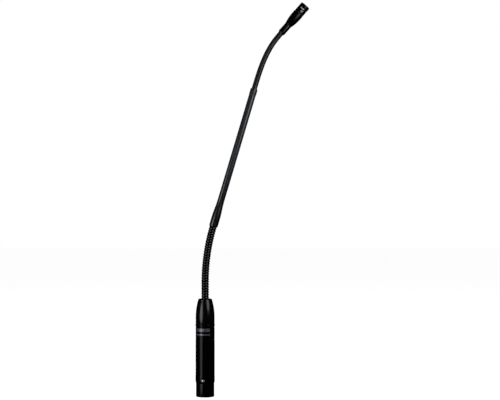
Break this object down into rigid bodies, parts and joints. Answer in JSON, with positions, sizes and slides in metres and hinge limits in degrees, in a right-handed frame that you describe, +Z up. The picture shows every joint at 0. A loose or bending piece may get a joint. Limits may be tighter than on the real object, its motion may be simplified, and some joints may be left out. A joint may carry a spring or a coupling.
{
  "type": "gooseneck podium microphone",
  "caption": "Slim condenser microphone on a two-section gooseneck with a rigid middle tube, rising from a cylindrical XLR plug-in preamplifier base.",
  "frame": {"origin": "centre of the rim of the XLR nose, at the bottom of the base", "axes": "+Z up the base towards the head, +X the way the neck leans, -Y the side with the retaining screw"},
  "size_m": [0.1136, 0.0194, 0.3938],
  "materials": {
    "black_body": "satin black coating",
    "black_nose": "satin black plating",
    "black_tube": "satin black coating",
    "neck_winding": "blackened steel winding",
    "head_black": "semi-gloss black coating",
    "nickel": "nickel plated",
    "gold": "gold plated",
    "brass": "plain",
    "steel": "plain",
    "insert_plastic": "moulded",
    "board_green": "solder mask",
    "part_plastic": "moulded",
    "can_blue": "shrink sleeve",
    "resistor_tan": "lacquer",
    "sleeve_ivory": "thin sheet",
    "wire_red": "insulation",
    "wire_white": "insulation",
    "cable_black": "jacket",
    "rubber_black": "moulded",
    "cloth_grey": "fine acoustic cloth",
    "foam_black": "open foam",
    "mesh_black": "fine black mesh"
  },
  "bodies": {
    "base": {"xlr_shell": "black_nose", "xlr_insert": "insert_plastic", "contact_pin_1": "gold", "contact_pin_2": "gold", "contact_pin_3": "gold", "ground_tab": "brass", "retaining_screw": "nickel", "pin_leads": "wire_red", "preamp_housing": "black_body", "insulating_sleeve": "sleeve_ivory", "preamp_board": "board_green", "board_capacitors": "can_blue", "board_transistors": "part_plastic", "board_resistors": "resistor_tan", "lead_wires": "wire_white", "joint_ring": "black_body", "top_cap": "black_body", "neck_bushing": "steel", "bushing_locknut": "steel", "neck_grommet": "rubber_black", "lower_neck_foot": "neck_winding", "lower_neck_cable": "cable_black"},
    "lower_link_1": {"lower_neck_link_1": "neck_winding"},
    "lower_link_2": {"lower_neck_link_2": "neck_winding"},
    "lower_link_3": {"lower_neck_link_3": "neck_winding"},
    "lower_link_4": {"lower_neck_link_4": "neck_winding"},
    "lower_link_5": {"lower_neck_link_5": "neck_winding"},
    "lower_link_6": {"lower_neck_link_6": "neck_winding"},
    "lower_link_7": {"lower_neck_link_7": "neck_winding"},
    "lower_link_8": {"lower_neck_link_8": "neck_winding"},
    "mid": {"lower_neck_head": "neck_winding", "tube_lower_ferrule": "black_tube", "middle_tube": "black_tube", "tube_upper_collar": "black_tube", "middle_cable": "cable_black", "upper_neck_foot": "neck_winding", "upper_neck_cable": "cable_black"},
    "upper_link_1": {"upper_neck_link_1": "neck_winding"},
    "upper_link_2": {"upper_neck_link_2": "neck_winding"},
    "upper_link_3": {"upper_neck_link_3": "neck_winding"},
    "upper_link_4": {"upper_neck_link_4": "neck_winding"},
    "upper_link_5": {"upper_neck_link_5": "neck_winding"},
    "upper_link_6": {"upper_neck_link_6": "neck_winding"},
    "upper_link_7": {"upper_neck_link_7": "neck_winding"},
    "upper_link_8": {"upper_neck_link_8": "neck_winding"},
    "head": {"upper_neck_head": "neck_winding", "head_collar": "head_black", "capsule_housing": "head_black", "cartridge_socket": "insert_plastic", "socket_contact": "gold"},
    "gasket": {"cartridge_gasket": "rubber_black"},
    "cartridge": {"cartridge_shell": "head_black", "cartridge_contact": "gold", "element_leads": "wire_red", "acoustic_sleeve": "cloth_grey", "element_boot": "rubber_black", "condenser_element": "nickel", "foam_disc": "foam_black", "front_grille": "mesh_black", "retaining_ring": "head_black"}
  },
  "joints": [
    {"name": "lower_neck_bend", "type": "hinge", "parent": "base", "child": "lower_link_1", "pos_m": [0, 0, 0.10166], "axis": [0, 1, 0], "range_deg": [-20, 14], "deforming": ["lower_neck_cable"]},
    {"name": "lower_neck_sway", "type": "hinge", "parent": "lower_link_1", "child": "lower_link_2", "pos_m": [0, 0, 0.10977], "axis": [1, 0, 0], "range_deg": [-18, 18]},
    {"name": "lower_neck_bend_2", "type": "hinge", "parent": "lower_link_2", "child": "lower_link_3", "pos_m": [0, 0, 0.11788], "axis": [0, 1, 0], "range_deg": [-20, 14]},
    {"name": "lower_neck_sway_2", "type": "hinge", "parent": "lower_link_3", "child": "lower_link_4", "pos_m": [0.00031, 0, 0.12598], "axis": [0.9983, 0, -0.0589], "range_deg": [-18, 18]},
    {"name": "lower_neck_bend_3", "type": "hinge", "parent": "lower_link_4", "child": "lower_link_5", "pos_m": [0.00096, 0, 0.13407], "axis": [0, 1, 0], "range_deg": [-20, 14]},
    {"name": "lower_neck_sway_3", "type": "hinge", "parent": "lower_link_5", "child": "lower_link_6", "pos_m": [0.00194, 0, 0.14212], "axis": [0.9898, 0, -0.1424], "range_deg": [-18, 18]},
    {"name": "lower_neck_bend_4", "type": "hinge", "parent": "lower_link_6", "child": "lower_link_7", "pos_m": [0.00326, 0, 0.15012], "axis": [0, 1, 0], "range_deg": [-20, 14]},
    {"name": "lower_neck_sway_4", "type": "hinge", "parent": "lower_link_7", "child": "lower_link_8", "pos_m": [0.00492, 0, 0.15806], "axis": [0.9744, 0, -0.2248], "range_deg": [-18, 18]},
    {"name": "lower_neck_bend_5", "type": "hinge", "parent": "lower_link_8", "child": "mid", "pos_m": [0.00691, 0, 0.16592], "axis": [0, 1, 0], "range_deg": [-20, 14]},
    {"name": "upper_neck_bend", "type": "hinge", "parent": "mid", "child": "upper_link_1", "pos_m": [0.05003, 0, 0.31056], "axis": [0, 1, 0], "range_deg": [-21, 13], "deforming": ["upper_neck_cable"]},
    {"name": "upper_neck_sway", "type": "hinge", "parent": "upper_link_1", "child": "upper_link_2", "pos_m": [0.05205, 0, 0.31721], "axis": [0.9545, 0, -0.2982], "range_deg": [-15, 15]},
    {"name": "upper_neck_bend_2", "type": "hinge", "parent": "upper_link_2", "child": "upper_link_3", "pos_m": [0.05417, 0, 0.32382], "axis": [0, 1, 0], "range_deg": [-21, 13]},
    {"name": "upper_neck_sway_2", "type": "hinge", "parent": "upper_link_3", "child": "upper_link_4", "pos_m": [0.05648, 0, 0.33037], "axis": [0.9359, 0, -0.3523], "range_deg": [-15, 15]},
    {"name": "upper_neck_bend_3", "type": "hinge", "parent": "upper_link_4", "child": "upper_link_5", "pos_m": [0.05906, 0, 0.33681], "axis": [0, 1, 0], "range_deg": [-21, 13]},
    {"name": "upper_neck_sway_3", "type": "hinge", "parent": "upper_link_5", "child": "upper_link_6", "pos_m": [0.06199, 0, 0.34311], "axis": [0.892, 0, -0.4519], "range_deg": [-15, 15]},
    {"name": "upper_neck_bend_4", "type": "hinge", "parent": "upper_link_6", "child": "upper_link_7", "pos_m": [0.06534, 0, 0.3492], "axis": [0, 1, 0], "range_deg": [-21, 13]},
    {"name": "upper_neck_sway_4", "type": "hinge", "parent": "upper_link_7", "child": "upper_link_8", "pos_m": [0.06917, 0, 0.35499], "axis": [0.8069, 0, -0.5907], "range_deg": [-15, 15]},
    {"name": "upper_neck_bend_5", "type": "hinge", "parent": "upper_link_8", "child": "head", "pos_m": [0.07353, 0, 0.36039], "axis": [0, 1, 0], "range_deg": [-21, 13]},
    {"name": "gasket_slide", "type": "slide", "parent": "head", "child": "gasket", "axis": [0.6626, 0, 0.749], "range_m": [0, 0.0015]},
    {"name": "cartridge_turn", "type": "hinge", "parent": "gasket", "child": "cartridge", "pos_m": [0.09346, 0, 0.38291], "axis": [0.6626, 0, 0.749], "range_deg": [0, 1080]}
  ],
  "couplings": [
    {"joint": "lower_neck_bend_2", "follows": "lower_neck_bend", "ratio": 1},
    {"joint": "lower_neck_sway_2", "follows": "lower_neck_sway", "ratio": 1},
    {"joint": "lower_neck_bend_3", "follows": "lower_neck_bend", "ratio": 1},
    {"joint": "lower_neck_sway_3", "follows": "lower_neck_sway", "ratio": 1},
    {"joint": "lower_neck_bend_4", "follows": "lower_neck_bend", "ratio": 1},
    {"joint": "lower_neck_sway_4", "follows": "lower_neck_sway", "ratio": 1},
    {"joint": "lower_neck_bend_5", "follows": "lower_neck_bend", "ratio": 1},
    {"joint": "upper_neck_bend_2", "follows": "upper_neck_bend", "ratio": 1},
    {"joint": "upper_neck_sway_2", "follows": "upper_neck_sway", "ratio": 1},
    {"joint": "upper_neck_bend_3", "follows": "upper_neck_bend", "ratio": 1},
    {"joint": "upper_neck_sway_3", "follows": "upper_neck_sway", "ratio": 1},
    {"joint": "upper_neck_bend_4", "follows": "upper_neck_bend", "ratio": 1},
    {"joint": "upper_neck_sway_4", "follows": "upper_neck_sway", "ratio": 1},
    {"joint": "upper_neck_bend_5", "follows": "upper_neck_bend", "ratio": 1},
    {"joint": "cartridge_turn", "follows": "gasket_slide", "rad_per_m": 12566}
  ]
}
